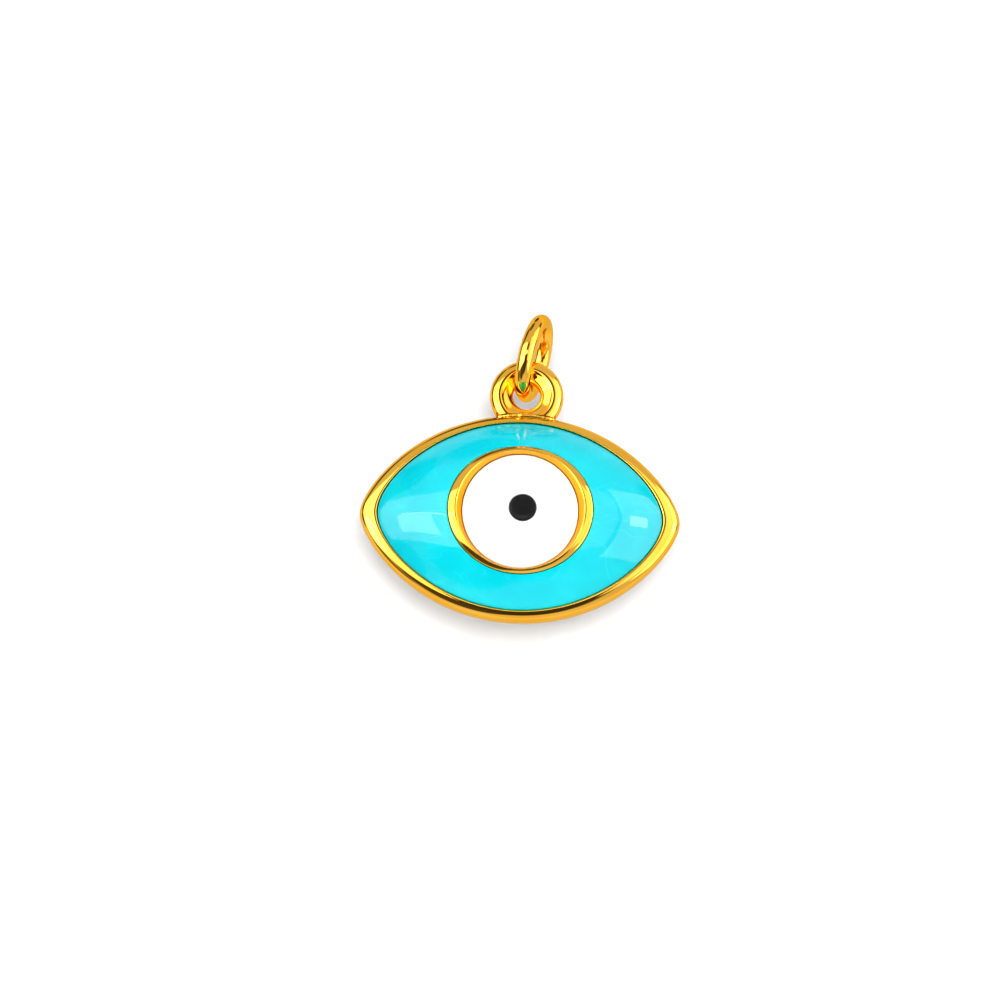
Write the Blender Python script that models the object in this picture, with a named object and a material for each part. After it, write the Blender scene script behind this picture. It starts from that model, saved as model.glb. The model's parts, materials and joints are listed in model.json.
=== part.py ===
"""Eye-shaped enamelled charm, hanging from its jump ring, in metres with +Z up.

The eye faces -Y. The world origin is the inside top of the jump ring, where a chain would pass.
The jump ring stands still, and the eye swings under it. Every piece of the eye is laid out in the eye's
own frame: its centre is the middle of the rim's widest outline, and its pieces are parented to an empty
on the swing axis.
"""

import math

import bmesh
import bpy
from mathutils import Matrix, Vector

# Outline of the eye: a lens whose quarters are one cubic curve each, from the tip to the top.
EYE_HALF_WIDTH = 0.0090
EYE_HALF_HEIGHT = 0.00592
EYE_FLANK_HANDLE = 0.0057
EYE_TIP_HANDLE = 0.0015

# Outline of the turquoise field, just inside the rim. Its tips are rounder than the rim's.
FIELD_HALF_WIDTH = 0.00803
FIELD_HALF_HEIGHT = 0.00539
FIELD_FLANK_HANDLE = 0.0045
FIELD_TIP_HANDLE = 0.00192

# Depths are along Y, with the front negative.
RIM_CREST_DEPTH = -0.00069
RIM_BACK_DEPTH = 0.00032
RIM_BACK_EDGE = 0.00008
RIM_BACK_SHARE = 0.08

# Front of the rim, which is rounded outwards from a crest beside the enamel: share of the way from the
# outer outline to the field's, and depth behind the crest.
RIM_FRONT_PROFILE = (
    (0.0, 0.00058),
    (0.05, 0.00042),
    (0.13, 0.00030),
    (0.24, 0.00019),
    (0.38, 0.00011),
    (0.55, 0.00005),
    (0.86, 0.0),
    (0.96, 0.00002),
)

FIELD_EDGE_DEPTH = -0.00062
FIELD_RISE = 0.00226
FIELD_POWER = 3.2
FIELD_THICKNESS = 0.0004
TRAY_THICKNESS = 0.0003
DOME_RING_SHARES = (0.0, 0.12, 0.3, 0.5, 0.75, 1.0)

# The iris cup: an oval seen from the front, with a round well for the white.
CUP_HALF_WIDTH = 0.00405
CUP_HALF_HEIGHT = 0.00364
CUP_LIP_RISE = 0.0001
CUP_BACK_DEPTH = -0.00115
WHITE_RADIUS = 0.00325
WHITE_EDGE_DEPTH = -0.00198
WHITE_DOME = 0.00014
WHITE_FLOOR_DEPTH = -0.00153
WHITE_RING_SHARES = (0.0, 0.2, 0.5, 1.0)

# Lip of the cup: share of the way from the wall to the well, and share of the lip's rise.
CUP_LIP_PROFILE = ((0.07, 0.65), (0.28, 0.95), (0.55, 1.05), (0.68, 0.8))

PUPIL_RADIUS = 0.00076
PUPIL_OFFSET = (0.00013, 0.00018)
PUPIL_WELL = 0.00025
PUPIL_PROUD = 0.00002
PUPIL_CROWN_SHARE = 0.8

BACK_FRONT_DEPTH = 0.00034
BACK_THICKNESS = 0.0006
BACK_INSET = 0.00006
BACK_EDGE_ROUND = 0.00022
BACK_EDGE_ANGLES = (0.0, 45.0, 90.0)

# The fixed hanging loop: a thick disc with a countersunk hole, soldered to the top of the rim.
LOOP_RADIUS = 0.00207
LOOP_HOLE_RADIUS = 0.00078
LOOP_COUNTERSINK_RADIUS = 0.00138
LOOP_FACE_RADIUS = 0.00180
LOOP_SHOULDER_RADIUS = 0.00200
LOOP_SHOULDER_SHARE = 0.72
LOOP_RIM_SHARE = 0.3
LOOP_THICKNESS = 0.0011
LOOP_LAND = 0.0003
LOOP_CENTRE = (0.00015, -0.00016, 0.00702)

# The jump ring: 5.1 mm across, of 0.9 mm wire.
WIRE_RADIUS = 0.00045
RING_RADIUS = 0.0021
RING_LEAN = math.radians(13.5)
RING_TURN = math.radians(-10.0)
RING_SEAT = (-0.00016, 0.00022)
RING_SEAM = 0.00004
RING_SEAM_ANGLE = math.radians(-85.0)

# Room left between pieces that are soldered or fused together.
GAP = 0.00002

QUARTER_STEPS = 16
RING_STEPS = 48
WIRE_SIDES = 10
LOOP_STEPS = 40
PUPIL_STEPS = 24

GOLD = (0.94, 0.62, 0.16, 1.0)
TURQUOISE = (0.0, 0.72, 0.86, 1.0)
WHITE = (0.93, 0.93, 0.93, 1.0)
BLACK = (0.014, 0.014, 0.014, 1.0)
GOLD_ROUGHNESS = 0.12
GLAZE_ROUGHNESS = 0.08
SHARP_ANGLE = math.radians(30.0)


def clear_scene():
    for old in list(bpy.data.objects):
        bpy.data.objects.remove(old, do_unlink=True)


def material(name, colour, roughness, metallic):
    made = bpy.data.materials.new(name)
    made.use_nodes = True
    shader = made.node_tree.nodes["Principled BSDF"]
    shader.inputs["Base Color"].default_value = colour
    shader.inputs["Roughness"].default_value = roughness
    shader.inputs["Metallic"].default_value = metallic
    made.diffuse_color = colour
    return made


def lens(half_width, half_height, flank_handle, tip_handle):
    """Closed outline in X and Z, anticlockwise from the right tip as seen from the front."""
    quarter = []
    for step in range(QUARTER_STEPS):
        t = step / QUARTER_STEPS
        s = 1.0 - t
        x = (s**3 + 3 * s * s * t) * half_width + 3 * s * t * t * flank_handle
        z = 3 * s * s * t * tip_handle + (3 * s * t * t + t**3) * half_height
        quarter.append((x, z))
    mirrored = [(-x, z) for x, z in reversed(quarter[1:])]
    upper = quarter + [(0.0, half_height)] + mirrored
    lower = [(x, -z) for x, z in reversed(upper)]
    return upper + [(-half_width, 0.0)] + lower[:-1]


def ellipse_like(outline, half_width, half_height):
    """An ellipse with one point on the same ray from the centre as each point of the outline."""
    points = []
    for x, z in outline:
        scale = 1.0 / math.hypot(x / half_width, z / half_height)
        points.append((x * scale, z * scale))
    return points


def circle(radius, steps, centre=(0.0, 0.0)):
    points = []
    for step in range(steps):
        angle = 2.0 * math.pi * step / steps
        points.append((centre[0] + radius * math.cos(angle), centre[1] + radius * math.sin(angle)))
    return points


def mixed(first, second, share):
    """The outline that lies this share of the way from the first outline to the second."""
    return [(a[0] + (b[0] - a[0]) * share, a[1] + (b[1] - a[1]) * share) for a, b in zip(first, second)]


def at_depth(outline, depth):
    return [Vector((x, depth, z)) for x, z in outline]


def on_dome(outline, shift):
    """The outline laid on the turquoise dome, then moved back by shift."""
    placed = []
    for (x, z), (edge_x, edge_z) in zip(outline, FIELD_OUTLINE):
        ratio = math.hypot(x, z) / math.hypot(edge_x, edge_z)
        depth = FIELD_EDGE_DEPTH - FIELD_RISE * (1.0 - min(ratio, 1.0) ** FIELD_POWER)
        placed.append(Vector((x, depth + shift, z)))
    return placed


def white_depth(x, z):
    """Depth of the white enamel's gently domed face."""
    return WHITE_EDGE_DEPTH - WHITE_DOME * (1.0 - min((x * x + z * z) / WHITE_RADIUS**2, 1.0))


def on_white(outline):
    return [Vector((x, white_depth(x, z), z)) for x, z in outline]


def new_object(name, bm, finish, parent=None, location=(0.0, 0.0, 0.0)):
    bmesh.ops.recalc_face_normals(bm, faces=bm.faces)
    if bm.calc_volume(signed=True) < 0.0:
        bmesh.ops.reverse_faces(bm, faces=bm.faces)
    mesh = bpy.data.meshes.new(name)
    bm.to_mesh(mesh)
    bm.free()
    mesh.shade_smooth()
    mesh.set_sharp_from_angle(angle=SHARP_ANGLE)
    mesh.materials.append(finish)
    made = bpy.data.objects.new(name, mesh)
    made.parent = parent
    made.location = location
    bpy.context.scene.collection.objects.link(made)
    return made


def lofted(sections, closed):
    """A mesh through rings of points: closed round on itself, or with a flat cap at each end."""
    bm = bmesh.new()
    rings = [[bm.verts.new(point) for point in section] for section in sections]
    pairs = list(zip(rings, rings[1:]))
    if closed:
        pairs.append((rings[-1], rings[0]))
    for first, second in pairs:
        for index, corner in enumerate(first):
            after = (index + 1) % len(first)
            bm.faces.new((corner, first[after], second[after], second[index]))
    if not closed:
        bm.faces.new(rings[0])
        bm.faces.new(rings[-1])
    return bm


def make_back_plate(finish, pivot):
    """The flat polished sheet that closes the hollow eye, with a rounded outer edge."""
    back = BACK_FRONT_DEPTH + BACK_THICKNESS
    steps = [(BACK_INSET, BACK_FRONT_DEPTH)]
    for degrees in BACK_EDGE_ANGLES:
        turn = math.radians(degrees)
        inset = BACK_INSET + BACK_EDGE_ROUND * (1.0 - math.cos(turn))
        steps.append((inset, back - BACK_EDGE_ROUND * (1.0 - math.sin(turn))))
    sections = []
    for inset, depth in steps:
        share = inset / (EYE_HALF_WIDTH - FIELD_HALF_WIDTH)
        sections.append(at_depth(mixed(EYE_OUTLINE, FIELD_OUTLINE, share), depth))
    return new_object("back_plate", lofted(sections, closed=False), finish, pivot, EYE_FROM_PIVOT)


def make_rim(finish, pivot):
    """The bezel: an upright wall whose front edge is rounded over into a polished ridge."""
    steps = [(RIM_BACK_SHARE, RIM_BACK_DEPTH), (0.0, RIM_BACK_DEPTH - RIM_BACK_EDGE)]
    steps += [(share, RIM_CREST_DEPTH + behind) for share, behind in RIM_FRONT_PROFILE]
    steps += [(1.0, FIELD_EDGE_DEPTH + GAP), (1.0, RIM_BACK_DEPTH)]
    sections = [at_depth(mixed(EYE_OUTLINE, FIELD_OUTLINE, share), depth) for share, depth in steps]
    return new_object("rim", lofted(sections, closed=True), finish, pivot, EYE_FROM_PIVOT)


def dome_layer(front_shift, back_shift, edge_gap):
    """A domed layer with an oval hole for the iris cup, between two depths behind the enamel's face."""
    edge_share = edge_gap / FIELD_HALF_HEIGHT
    outer = [(x * (1.0 - edge_share), z * (1.0 - edge_share)) for x, z in FIELD_OUTLINE]
    inner = ellipse_like(outer, CUP_HALF_WIDTH + edge_gap, CUP_HALF_HEIGHT + edge_gap)
    rings = [mixed(outer, inner, share) for share in DOME_RING_SHARES]
    front = [on_dome(ring, front_shift) for ring in rings]
    back = [on_dome(ring, back_shift) for ring in reversed(rings)]
    return lofted(front + back, closed=True)


def make_front_tray(finish, pivot):
    """The domed sheet that carries the turquoise enamel, hidden between the enamel and the back."""
    front = FIELD_THICKNESS + GAP
    layer = dome_layer(front, front + TRAY_THICKNESS, GAP * 1.5)
    return new_object("front_tray", layer, finish, pivot, EYE_FROM_PIVOT)


def make_turquoise_enamel(finish, pivot):
    layer = dome_layer(0.0, FIELD_THICKNESS, GAP)
    return new_object("turquoise_enamel", layer, finish, pivot, EYE_FROM_PIVOT)


def make_iris_cup(finish, pivot):
    """The gold seat of the iris: an oval wall, a ridge round its front, and a slope down to the well."""
    wall = ellipse_like(FIELD_OUTLINE, CUP_HALF_WIDTH, CUP_HALF_HEIGHT)
    well = ellipse_like(FIELD_OUTLINE, WHITE_RADIUS + GAP, WHITE_RADIUS + GAP)
    sections = [at_depth(wall, CUP_BACK_DEPTH), on_dome(wall, 0.0)]
    for share, rise in CUP_LIP_PROFILE:
        sections.append(on_dome(mixed(wall, well, share), -CUP_LIP_RISE * rise))
    sections += [at_depth(well, WHITE_EDGE_DEPTH), at_depth(well, WHITE_FLOOR_DEPTH + GAP)]
    return new_object("iris_cup", lofted(sections, closed=False), finish, pivot, EYE_FROM_PIVOT)


def make_white_enamel(finish, pivot):
    """The round white of the iris, with a shallow well for the pupil."""
    edge = circle(WHITE_RADIUS, PUPIL_STEPS * 2)
    well = circle(PUPIL_RADIUS + GAP, PUPIL_STEPS * 2, PUPIL_OFFSET)
    sections = [at_depth(edge, WHITE_FLOOR_DEPTH)]
    for share in WHITE_RING_SHARES:
        sections.append(on_white(mixed(edge, well, share)))
    sections.append(at_depth(well, white_depth(*PUPIL_OFFSET) + PUPIL_WELL))
    return new_object("white_enamel", lofted(sections, closed=False), finish, pivot, EYE_FROM_PIVOT)


def make_pupil_enamel(finish, pivot):
    """The black dot, slightly off the middle of the white, as it was laid by hand."""
    edge = circle(PUPIL_RADIUS, PUPIL_STEPS, PUPIL_OFFSET)
    crown = circle(PUPIL_RADIUS * PUPIL_CROWN_SHARE, PUPIL_STEPS, PUPIL_OFFSET)
    face = white_depth(*PUPIL_OFFSET)
    sections = [
        at_depth(edge, face + PUPIL_WELL - GAP),
        at_depth(edge, face),
        at_depth(crown, face - PUPIL_PROUD),
    ]
    return new_object("pupil_enamel", lofted(sections, closed=False), finish, pivot, EYE_FROM_PIVOT)


def make_foot_cutter():
    """A prism of the rim's outline, a little larger all round, which shapes the foot of the loop."""
    reach = 2.0 * LOOP_THICKNESS
    grown = [(x + math.copysign(GAP, x), z + math.copysign(GAP, z)) for x, z in EYE_OUTLINE]
    sections = [at_depth(grown, -reach), at_depth(grown, reach)]
    cutter = new_object("foot_cutter", lofted(sections, closed=False), None)
    cutter.hide_render = True
    cutter.display_type = "WIRE"
    return cutter


def make_hanging_loop(finish, pivot):
    """The fixed loop: countersunk on both faces, rounded outside, with its foot cut to the rim's wall."""
    half = LOOP_THICKNESS / 2.0
    land = LOOP_LAND / 2.0
    profile = (
        (LOOP_HOLE_RADIUS, -land),
        (LOOP_COUNTERSINK_RADIUS, -half),
        (LOOP_FACE_RADIUS, -half),
        (LOOP_SHOULDER_RADIUS, -half * LOOP_SHOULDER_SHARE),
        (LOOP_RADIUS, -half * LOOP_RIM_SHARE),
        (LOOP_RADIUS, half * LOOP_RIM_SHARE),
        (LOOP_SHOULDER_RADIUS, half * LOOP_SHOULDER_SHARE),
        (LOOP_FACE_RADIUS, half),
        (LOOP_COUNTERSINK_RADIUS, half),
        (LOOP_HOLE_RADIUS, land),
    )
    centre_x, centre_y, centre_z = LOOP_CENTRE
    sections = []
    for radius, depth in profile:
        ring = circle(radius, LOOP_STEPS, (centre_x, centre_z))
        sections.append(at_depth(ring, centre_y + depth))
    loop = new_object("hanging_loop", lofted(sections, closed=True), finish, pivot, EYE_FROM_PIVOT)
    cutter = make_foot_cutter()
    cutter.parent = pivot
    cutter.location = EYE_FROM_PIVOT
    cut = loop.modifiers.new("foot", "BOOLEAN")
    cut.operation = "DIFFERENCE"
    cut.object = cutter
    return loop


def make_jump_ring(finish):
    """Round wire bent into a ring and closed at a butt seam, which leaves a hairline gap."""
    bm = bmesh.new()
    seam = RING_SEAM / RING_RADIUS
    to_start = Matrix.Translation((RING_RADIUS, 0.0, 0.0)) @ Matrix.Rotation(math.pi / 2.0, 4, "X")
    made = bmesh.ops.create_circle(
        bm, cap_ends=True, segments=WIRE_SIDES, radius=WIRE_RADIUS, matrix=to_start
    )
    face = made["verts"][0].link_faces[0]
    bmesh.ops.spin(
        bm,
        geom=[face, *face.edges, *face.verts],
        cent=(0.0, 0.0, 0.0),
        axis=(0.0, 0.0, 1.0),
        angle=2.0 * math.pi - seam,
        steps=RING_STEPS,
    )
    bm.transform(RING_TURNED @ Matrix.Rotation(RING_SEAM_ANGLE + seam / 2.0, 4, "Z"))
    return new_object("jump_ring", bm, finish, None, RING_CENTRE)


# The jump ring's own axes: up through its leaning top, towards the front, and its hinge axis.
RING_UP = Vector((math.sin(RING_LEAN), 0.0, math.cos(RING_LEAN)))
RING_FRONT = Matrix.Rotation(RING_TURN, 3, RING_UP) @ Vector((0.0, -1.0, 0.0))
SWING_AXIS = RING_UP.cross(RING_FRONT)
RING_TURNED = Matrix((RING_UP, RING_FRONT, SWING_AXIS)).transposed().to_4x4()

# Places: the origin is the inside top of the ring, and the eye's centre hangs below it.
RING_CENTRE = RING_UP * -(RING_RADIUS - WIRE_RADIUS)
WIRE_IN_HOLE = Vector((RING_SEAT[0], 0.0, RING_SEAT[1]))
RING_FROM_EYE = Vector(LOOP_CENTRE) + WIRE_IN_HOLE + RING_UP * RING_RADIUS
EYE_FROM_PIVOT = -RING_FROM_EYE

EYE_OUTLINE = lens(EYE_HALF_WIDTH, EYE_HALF_HEIGHT, EYE_FLANK_HANDLE, EYE_TIP_HANDLE)
FIELD_OUTLINE = lens(FIELD_HALF_WIDTH, FIELD_HALF_HEIGHT, FIELD_FLANK_HANDLE, FIELD_TIP_HANDLE)


def main():
    clear_scene()
    gold = material("polished_gold", GOLD, GOLD_ROUGHNESS, 1.0)
    turquoise = material("turquoise_glaze", TURQUOISE, GLAZE_ROUGHNESS, 0.0)
    white = material("white_glaze", WHITE, GLAZE_ROUGHNESS, 0.0)
    black = material("black_glaze", BLACK, GLAZE_ROUGHNESS, 0.0)

    pivot = bpy.data.objects.new("eye_swing", None)
    pivot.location = RING_CENTRE
    bpy.context.scene.collection.objects.link(pivot)

    make_jump_ring(gold)
    make_hanging_loop(gold, pivot)
    make_rim(gold, pivot)
    make_back_plate(gold, pivot)
    make_front_tray(gold, pivot)
    make_iris_cup(gold, pivot)
    make_turquoise_enamel(turquoise, pivot)
    make_white_enamel(white, pivot)
    make_pupil_enamel(black, pivot)


main()
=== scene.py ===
import json
import math

import bmesh
import bpy
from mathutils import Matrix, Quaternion, Vector, noise


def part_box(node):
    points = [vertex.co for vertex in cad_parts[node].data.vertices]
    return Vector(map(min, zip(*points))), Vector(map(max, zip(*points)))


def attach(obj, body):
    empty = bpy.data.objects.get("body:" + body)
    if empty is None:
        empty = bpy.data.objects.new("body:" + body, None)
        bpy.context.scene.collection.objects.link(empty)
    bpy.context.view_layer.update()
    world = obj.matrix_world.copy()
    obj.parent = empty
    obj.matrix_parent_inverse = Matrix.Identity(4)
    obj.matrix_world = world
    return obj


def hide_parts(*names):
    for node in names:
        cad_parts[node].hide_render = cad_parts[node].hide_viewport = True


bl_info = {
    "name": "Evil Eye Charm",
    "version": (1, 0, 0),
    "blender": (4, 5, 0),
    "location": "View3D > Sidebar > Charm",
    "description": "Models an enamelled eye charm round its packed frame, and lights it",
    "category": "Add Mesh",
}

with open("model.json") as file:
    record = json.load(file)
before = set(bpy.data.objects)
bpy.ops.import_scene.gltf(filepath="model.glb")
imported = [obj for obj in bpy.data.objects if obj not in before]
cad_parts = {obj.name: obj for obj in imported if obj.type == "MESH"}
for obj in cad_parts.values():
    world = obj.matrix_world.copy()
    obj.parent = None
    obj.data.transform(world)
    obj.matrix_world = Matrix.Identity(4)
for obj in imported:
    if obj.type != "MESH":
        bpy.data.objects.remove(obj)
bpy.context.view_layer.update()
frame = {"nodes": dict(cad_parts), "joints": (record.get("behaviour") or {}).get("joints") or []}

# Places taken from the frame. The eye faces -Y, and its depths are counted along +Y from the rim's crest.
RIM_LOW, RIM_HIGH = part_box("rim")
FIELD_LOW, FIELD_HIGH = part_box("turquoise_enamel")
BACK_LOW, BACK_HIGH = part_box("back_plate")
CUP_LOW, CUP_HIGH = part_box("iris_cup")
WHITE_LOW, WHITE_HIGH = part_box("white_enamel")
PUPIL_LOW, PUPIL_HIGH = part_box("pupil_enamel")
LOOP_LOW, LOOP_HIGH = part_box("hanging_loop")
SWING = frame["joints"][0]

EYE_X = (RIM_LOW.x + RIM_HIGH.x) / 2.0
EYE_Z = (RIM_LOW.z + RIM_HIGH.z) / 2.0
CREST_Y = RIM_LOW.y
EYE_HALF_WIDTH = (RIM_HIGH.x - RIM_LOW.x) / 2.0
EYE_HALF_HEIGHT = (RIM_HIGH.z - RIM_LOW.z) / 2.0
FIELD_HALF_WIDTH = (FIELD_HIGH.x - FIELD_LOW.x) / 2.0
FIELD_HALF_HEIGHT = (FIELD_HIGH.z - FIELD_LOW.z) / 2.0
CUP_HALF_WIDTH = (CUP_HIGH.x - CUP_LOW.x) / 2.0
CUP_HALF_HEIGHT = (CUP_HIGH.z - CUP_LOW.z) / 2.0
WHITE_RADIUS = (WHITE_HIGH.x - WHITE_LOW.x) / 2.0
PUPIL_RADIUS = (PUPIL_HIGH.x - PUPIL_LOW.x) / 2.0
PUPIL_X = (PUPIL_LOW.x + PUPIL_HIGH.x) / 2.0 - EYE_X
PUPIL_Z = (PUPIL_LOW.z + PUPIL_HIGH.z) / 2.0 - EYE_Z
LOOP_RADIUS = (LOOP_HIGH.x - LOOP_LOW.x) / 2.0
LOOP_X = (LOOP_LOW.x + LOOP_HIGH.x) / 2.0
LOOP_Y = (LOOP_LOW.y + LOOP_HIGH.y) / 2.0
LOOP_Z = LOOP_HIGH.z - LOOP_RADIUS
LOOP_HALF_DEPTH = (LOOP_HIGH.y - LOOP_LOW.y) / 2.0
BACK_FRONT = BACK_LOW.y - CREST_Y
BACK_FACE = BACK_HIGH.y - CREST_Y
RING_CENTRE = Vector(SWING["pos_m"])
RING_AXIS = Vector(SWING["axis"]).normalized()
RING_UP = -RING_CENTRE.normalized()
RING_INNER_RADIUS = RING_CENTRE.length

# The lens outlines: shares of the half width and half height at which their curves' handles lie.
EYE_HANDLES = (0.633, 0.253)
FIELD_HANDLES = (0.560, 0.356)
QUARTER_STEPS = 16

# Section of the rim: share of the way from the outer outline to the field's, and depth behind the crest.
RIM_SECTION = (
    (0.00, 0.00092),
    (0.00, 0.00070),
    (0.00, 0.00061),
    (0.045, 0.00044),
    (0.13, 0.00030),
    (0.24, 0.00019),
    (0.38, 0.00011),
    (0.55, 0.00005),
    (0.74, 0.00001),
    (0.88, -0.00001),
    (0.965, 0.00001),
    (1.00, 0.00007),
    (1.00, 0.00098),
    (0.50, 0.00100),
    (0.06, 0.00100),
)
# How far gold stands clear of the enamel beside it, and of the rim that the loop's foot sits on.
FIT = 0.00002

# The turquoise field: depth of its edge behind the crest, and how far its dome would rise at the middle.
FIELD_EDGE = 0.00007
FIELD_RISE = 0.00226
FIELD_POWER = 3.2
FIELD_THICKNESS = 0.0004
# How far its front face rolls down where it meets the gold.
FIELD_EDGE_SINK = 0.00003
# Its rows of faces: shares of the way from the rim to the iris.
FIELD_FRONT_SHARES = (0.0, 0.010, 0.03, 0.10, 0.22, 0.36, 0.52, 0.68, 0.84, 0.96, 0.99, 1.0)
FIELD_BACK_SHARES = (1.0, 0.8, 0.5, 0.25, 0.0)

# Ridge of the iris: share of the way from its outer wall to the white, and rise above the dome.
IRIS_RIDGE = (
    (0.0, 0.00002),
    (0.05, 0.00006),
    (0.16, 0.00008),
    (0.32, 0.00010),
    (0.50, 0.00011),
    (0.64, 0.00009),
)
# Slope of the iris from there down to the white: share of the way, and share of the drop.
IRIS_SLOPE = ((0.25, 0.22), (0.50, 0.52), (0.78, 0.84), (0.96, 0.98))
CUP_BACK = -0.00046
CUP_WALL_STEP = 0.0001
CUP_SINK = 0.00012

# The white: depths of its edge and its floor, and how far its face bulges.
WHITE_EDGE = -0.00129
WHITE_DOME = 0.00014
WHITE_FLOOR = -0.00084
WHITE_ROUNDING = 0.00006
WHITE_SIDES = 64
# Its rows of faces: shares of the way from its edge to the pupil's well.
WHITE_FACE_SHARES = (0.012, 0.05, 0.2, 0.45, 0.7, 0.9, 0.985)
WELL_ROUNDING = 0.00004
WELL_DEPTH = 0.00024
WELL_CLEARANCE = 0.00001

# Section of the pupil: share of its radius, and depth behind the face of the white.
PUPIL_SIDES = 48
PUPIL_SECTION = (
    (0.55, 0.00020),
    (0.99, 0.00020),
    (1.0, 0.00017),
    (1.0, 0.00003),
    (0.96, -0.00001),
    (0.80, -0.00003),
    (0.5, -0.00005),
    (0.2, -0.00006),
)

# Section of the back sheet: share of the way from the outer outline to the field's, and depth behind
# the crest.
BACK_SECTION = (
    (0.30, BACK_FRONT),
    (0.10, BACK_FRONT),
    (0.06, BACK_FRONT + 0.00003),
    (0.06, BACK_FACE - 0.00024),
    (0.08, BACK_FACE - 0.00010),
    (0.17, BACK_FACE),
    (0.36, BACK_FACE),
    (0.9, BACK_FACE),
)
# Its flat middle: shares of the field's outline.
BACK_FLAT_SHARES = (0.7, 0.4, 0.12)

# Half section of the loop: distance outwards from the hole, and share of the half depth.
LOOP_COUNTERSINK = (
    (0.0, 0.0),
    (0.0, 0.22),
    (0.00002, 0.44),
    (0.00009, 0.60),
    (0.00020, 0.70),
    (0.00038, 0.80),
    (0.00055, 0.88),
    (0.00065, 1.01),
)
# The rest of it: distance outwards from the outer radius, and share of the half depth.
LOOP_SHOULDER = (
    (-0.00055, 1.04),
    (-0.00043, 1.025),
    (-0.00029, 0.95),
    (-0.00015, 0.79),
    (-0.00004, 0.52),
    (0.00001, 0.24),
    (0.00001, 0.0),
)
LOOP_SIDES = 48
FOOT_CUTTER_DEPTH = 0.004

# The solder bead: half its length, its half depth as a share of the loop's, and how far it lies in
# the rim.
SOLDER_HALF_LENGTH = 0.00150
SOLDER_DEPTH_SHARE = 0.62
SOLDER_SINK = 0.00006
# How square its outline is (1 is an ellipse), and how far its thickness wavers.
SOLDER_SQUARENESS = 0.6
SOLDER_WAVER = 0.45
# The torus that it is drawn out from has a middle radius of one.
TORUS_TUBE = 0.1

# The jump ring: the seam's place round it from the top, and the rounding of its cut ends.
WIRE_SIDES = 32
RING_STEPS = 144
SEAM_DEGREES = -85.0
CUT_ROUNDING = 0.00003

# Faces that meet at a sharper angle than this keep a crisp edge.
CRISP_DEGREES = 40.0

# Sizes of the patterns in the finishes, as noise scales.
DRIFT_SCALE = 260.0
HAIRLINE_SCALE = 2600.0
WEAR_SCALE = 900.0
WAVE_SCALE = 700.0
SWIRL_SCALE = 230.0
PINHOLE_SCALE = 1500.0
GLAZE_HAZE_SCALE = 1400.0
PEEL_SCALE = 900.0
PAPER_GRAIN_SCALE = 900.0

GOLD_EDGE_TINT = (0.80, 0.62, 0.35, 1.0)
GOLD_BUMP = 0.000004
GLAZE_BUMP = 0.000003
SWIRL_STRENGTH = 0.24
PINHOLE_STRENGTH = 0.5

# The stage: lights by name, degrees to the right of the front, degrees up, width, height, radiance, and
# whether only mirrors see them. Radiance is what a mirror would show of each light.
SOFTBOXES = (
    ("left_softbox", -48.0, 2.0, 0.42, 0.35, 2.2, True),
    ("left_core", -52.0, -9.0, 0.17, 0.11, 4.0, True),
    ("left_strip", -44.0, 2.0, 0.22, 0.006, 12.0, True),
    ("right_softbox", 69.0, 4.0, 0.24, 0.50, 2.1, True),
    ("right_panel", 33.0, 6.0, 0.14, 0.36, 1.0, True),
    ("right_core", 64.0, 4.0, 0.09, 0.09, 7.0, True),
    ("front_strip", 0.0, -1.0, 0.13, 0.045, 3.0, True),
    ("top_fill", 8.0, 66.0, 0.30, 0.30, 2.3, False),
    ("front_fill", 0.35, -10.3, 0.024, 0.024, 420.0, False),
)
SOFTBOX_DISTANCE = 0.32
EYE_MIDDLE = Vector((EYE_X, CREST_Y, EYE_Z))

# Dark parts of the studio as mirrors see it: degrees to the right, degrees up, cosines of its outer and inner
# edge, and level.
DARK_LOBES = (
    (-1.0, -33.0, 0.85, 0.92, 0.05),
    (-38.0, -48.0, 0.91, 0.95, 0.08),
    (-86.0, -34.0, 0.96, 0.98, 0.15),
    (-98.0, 0.0, 0.975, 0.985, 0.05),
    (-96.0, 24.0, 0.965, 0.980, 0.06),
    (-88.0, 46.0, 0.955, 0.975, 0.08),
    (-60.0, 74.0, 0.960, 0.980, 0.12),
    (0.0, 106.0, 0.975, 0.988, 0.06),
    (101.0, 4.0, 0.990, 0.995, 0.10),
    (98.0, 40.0, 0.985, 0.993, 0.10),
    (0.0, 13.0, 0.972, 0.988, 0.08),
)
# Levels of the world: what the camera sees past the paper, what mirrors see in front, below and behind, and
# what lights the rest.
SEEN_LEVEL = 1.05
FRONT_LEVEL = 0.75
BELOW_LEVEL = 0.85
BEHIND_LEVEL = 1.0
ROOM_LEVEL = 0.17

FLOOR_SIZE = 1.2
FLOOR_HEIGHT = -0.10
BACKDROP_SIZE = 0.5
BACKDROP_DEPTH = 0.022

# The camera: degrees up from level, roll, distance, shift across and up its own view, and lens.
CAMERA_ELEVATION = -13.0
CAMERA_ROLL = 2.1
CAMERA_DISTANCE = 0.234
CAMERA_SHIFT = (-0.00111, 0.00105, 0.0)
CAMERA_TARGET = Vector((EYE_X, LOOP_Y + 0.00016, EYE_Z))
CAMERA_LENS = 150.0


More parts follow.
